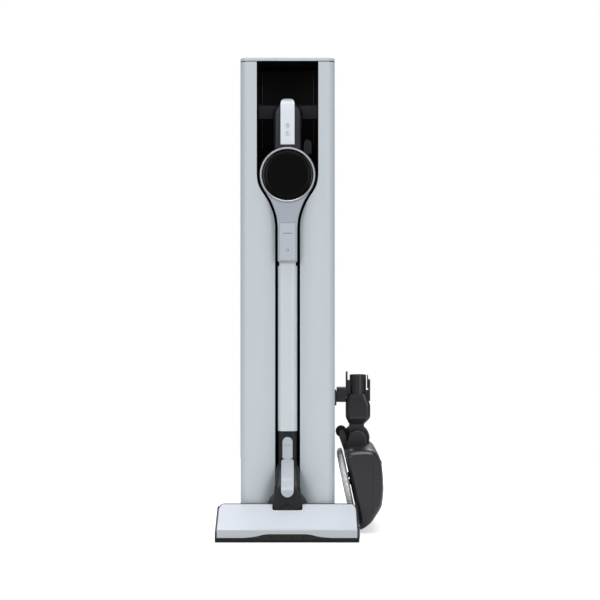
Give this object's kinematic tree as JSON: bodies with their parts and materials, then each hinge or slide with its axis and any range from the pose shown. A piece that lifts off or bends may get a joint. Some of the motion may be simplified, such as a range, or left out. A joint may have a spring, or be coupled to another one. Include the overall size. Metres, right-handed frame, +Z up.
{
  "type": "cordless stick vacuum with dock tower",
  "caption": "Cordless stick vacuum docked in a tall charging and emptying tower, with a power-mop nozzle hung on its side.",
  "frame": {"origin": "centre of the tower's footprint, on the floor, at the underside of its foot mat", "axes": "+Z up, -Y the front where the vacuum docks, +X the right-hand side where the mop nozzle hangs"},
  "size_m": [0.3518, 0.3828, 1.005],
  "materials": {
    "tower_silver": "fine satin silver-blue paint",
    "recess_black": "satin black",
    "light_silver": "satin silver",
    "pipe_silver": "satin anodised",
    "dark_grey": "satin dark grey",
    "dock_grey": "satin",
    "gloss_black": "gloss",
    "rubber": "matt",
    "mop_dark": "satin dark brown-grey",
    "smoke": "smoke tint",
    "inner_grey": "moulded",
    "board_green": "solder mask",
    "paper": "non-woven filter",
    "pad_cloth": "microfibre pile",
    "steel": "brushed",
    "contact": "plated",
    "brush": "nylon bristle",
    "lamp": "clear smoke"
  },
  "bodies": {
    "tower": {"tower_shell": "tower_silver", "recess_liner": "recess_black", "lid_rear_cap": "tower_silver", "base_plate": "dark_grey", "foot_mat": "rubber", "dock_bridge": "dock_grey", "charging_contacts": "contact", "dock_port": "inner_grey", "dust_bag": "paper", "bag_collar": "board_green", "air_duct": "inner_grey", "tower_motor": "inner_grey", "exhaust_filter": "paper", "control_board": "board_green", "power_inlet": "recess_black", "mop_holder": "light_silver"},
    "lid": {"top_lid": "tower_silver"},
    "vacuum": {"motor_housing": "dark_grey", "vac_motor": "inner_grey", "dust_bin": "smoke", "cyclone_core": "inner_grey", "neck_shell": "light_silver", "handle_shell": "dark_grey", "handle_cover": "light_silver", "upper_pipe": "pipe_silver", "pipe_collar": "dark_grey"},
    "filter_cap": {"filter_ring": "light_silver", "filter_disc": "gloss_black", "filter_element": "paper"},
    "power_key": {"power_button": "light_silver"},
    "mode_key": {"mode_button": "light_silver"},
    "pipe_key": {"pipe_release_button": "light_silver"},
    "press_lever": {"compressor_lever": "dark_grey"},
    "press_ring": {"compressor_ring": "rubber"},
    "bin_door": {"bin_lid": "dark_grey"},
    "bin_key": {"bin_latch": "dark_grey"},
    "battery": {"battery_pack": "dark_grey"},
    "length_key": {"length_lock_lever": "light_silver"},
    "inner_tube": {"lower_pipe": "steel", "nozzle_neck": "dark_grey"},
    "nozzle_key": {"nozzle_release_lever": "light_silver"},
    "yoke": {"roll_yoke": "dark_grey"},
    "floor_nozzle": {"nozzle_housing": "dark_grey", "nozzle_cover": "light_silver", "front_bumper": "rubber", "lamp_window": "lamp", "yoke_pin": "steel"},
    "end_cap": {"roller_end_cap": "dark_grey"},
    "brush": {"brush_roller": "brush"},
    "wheel_left": {"rear_wheel_left": "rubber"},
    "wheel_right": {"rear_wheel_right": "rubber"},
    "mop": {"mop_coupler": "mop_dark"},
    "mop_key": {"mop_latch": "rubber"},
    "mop_head": {"mop_deck": "mop_dark"},
    "mop_reservoir": {"mop_tank": "smoke"},
    "pad_front": {"mop_pad_front": "pad_cloth"},
    "pad_rear": {"mop_pad_rear": "pad_cloth"},
    "mop_wheel": {"mop_roller": "rubber"}
  },
  "joints": [
    {"name": "lid_open", "type": "hinge", "parent": "tower", "child": "lid", "pos_m": [0, 0.0986, 1.0015], "axis": [-1, 0, 0], "range_deg": [0, 80]},
    {"name": "dock_slide", "type": "slide", "parent": "tower", "child": "vacuum", "axis": [0, -1, 0], "range_m": [0, 0.32]},
    {"name": "filter_twist", "type": "hinge", "parent": "vacuum", "child": "filter_cap", "pos_m": [0, -0.12, 0.757], "axis": [0, -1, 0], "range_deg": [0, 30]},
    {"name": "power_press", "type": "slide", "parent": "vacuum", "child": "power_key", "axis": [0, 1, 0], "range_m": [0, 0.0012], "stiffness_N_per_m": 700},
    {"name": "mode_press", "type": "slide", "parent": "vacuum", "child": "mode_key", "axis": [0, 1, 0], "range_m": [0, 0.0012], "stiffness_N_per_m": 700},
    {"name": "pipe_release_press", "type": "slide", "parent": "vacuum", "child": "pipe_key", "axis": [0, 1, 0], "range_m": [0, 0.002], "stiffness_N_per_m": 700},
    {"name": "compressor_push", "type": "slide", "parent": "vacuum", "child": "press_lever", "axis": [0, 1, 0], "range_m": [0, 0.044], "stiffness_N_per_m": 60},
    {"name": "compressor_ring_travel", "type": "slide", "parent": "vacuum", "child": "press_ring", "axis": [0, 1, 0], "range_m": [0, 0.044]},
    {"name": "bin_lid_open", "type": "hinge", "parent": "vacuum", "child": "bin_door", "pos_m": [0, 0.0064, 0.7006], "axis": [-1, 0, 0], "range_deg": [0, 85]},
    {"name": "bin_latch_press", "type": "slide", "parent": "vacuum", "child": "bin_key", "axis": [1, 0, 0], "range_m": [0, 0.0015], "stiffness_N_per_m": 700},
    {"name": "battery_slide", "type": "slide", "parent": "vacuum", "child": "battery", "axis": [0, 0, 1], "range_m": [0, 0.07]},
    {"name": "length_lever_press", "type": "slide", "parent": "vacuum", "child": "length_key", "axis": [0, 1, 0], "range_m": [0, 0.002], "stiffness_N_per_m": 700},
    {"name": "pipe_telescope", "type": "slide", "parent": "vacuum", "child": "inner_tube", "axis": [0, 0, -1], "range_m": [0, 0.26]},
    {"name": "nozzle_lever_press", "type": "hinge", "parent": "inner_tube", "child": "nozzle_key", "pos_m": [0, -0.1585, 0.084], "axis": [-1, 0, 0], "range_deg": [0, 2], "stiffness_Nm_per_rad": 2},
    {"name": "neck_roll", "type": "hinge", "parent": "inner_tube", "child": "yoke", "pos_m": [0, -0.14, 0.052], "axis": [0, 1, 0], "range_deg": [-10, 10]},
    {"name": "neck_tilt", "type": "hinge", "parent": "yoke", "child": "floor_nozzle", "pos_m": [0, -0.168, 0.038], "axis": [1, 0, 0], "range_deg": [0, 75]},
    {"name": "end_cap_pull", "type": "slide", "parent": "floor_nozzle", "child": "end_cap", "axis": [1, 0, 0], "range_m": [0, 0.03]},
    {"name": "brush_spin", "type": "hinge", "parent": "floor_nozzle", "child": "brush", "pos_m": [0, -0.208, 0.0154], "axis": [1, 0, 0], "continuous": true},
    {"name": "wheel_left_spin", "type": "hinge", "parent": "floor_nozzle", "child": "wheel_left", "pos_m": [-0.061, -0.147, 0.0096], "axis": [1, 0, 0], "continuous": true},
    {"name": "wheel_right_spin", "type": "hinge", "parent": "floor_nozzle", "child": "wheel_right", "pos_m": [0.061, -0.147, 0.0096], "axis": [1, 0, 0], "continuous": true},
    {"name": "mop_lift", "type": "slide", "parent": "tower", "child": "mop", "axis": [0, 0, 1], "range_m": [0, 0.034]},
    {"name": "mop_latch_press", "type": "slide", "parent": "mop", "child": "mop_key", "axis": [-1, 0, 0], "range_m": [0, 0.0015], "stiffness_N_per_m": 700},
    {"name": "mop_tilt", "type": "hinge", "parent": "mop", "child": "mop_head", "pos_m": [0.15, 0.005, 0.19], "axis": [0, -1, 0], "range_deg": [0, 42]},
    {"name": "mop_tank_slide", "type": "slide", "parent": "mop_head", "child": "mop_reservoir", "axis": [1, 0, 0], "range_m": [0, 0.05]},
    {"name": "mop_pad_front_spin", "type": "hinge", "parent": "mop_head", "child": "pad_front", "pos_m": [0.12136, -0.061, 0.10035], "axis": [-0.9799, 0, -0.1994], "continuous": true},
    {"name": "mop_pad_rear_spin", "type": "hinge", "parent": "mop_head", "child": "pad_rear", "pos_m": [0.12136, 0.071, 0.10035], "axis": [-0.9799, 0, -0.1994], "continuous": true},
    {"name": "mop_roller_spin", "type": "hinge", "parent": "mop_head", "child": "mop_wheel", "pos_m": [0.1164, 0.005, 0.206], "axis": [0, 1, 0], "continuous": true}
  ],
  "couplings": [
    {"joint": "compressor_ring_travel", "follows": "compressor_push", "ratio": 1},
    {"joint": "mop_pad_rear_spin", "follows": "mop_pad_front_spin", "ratio": -1}
  ]
}
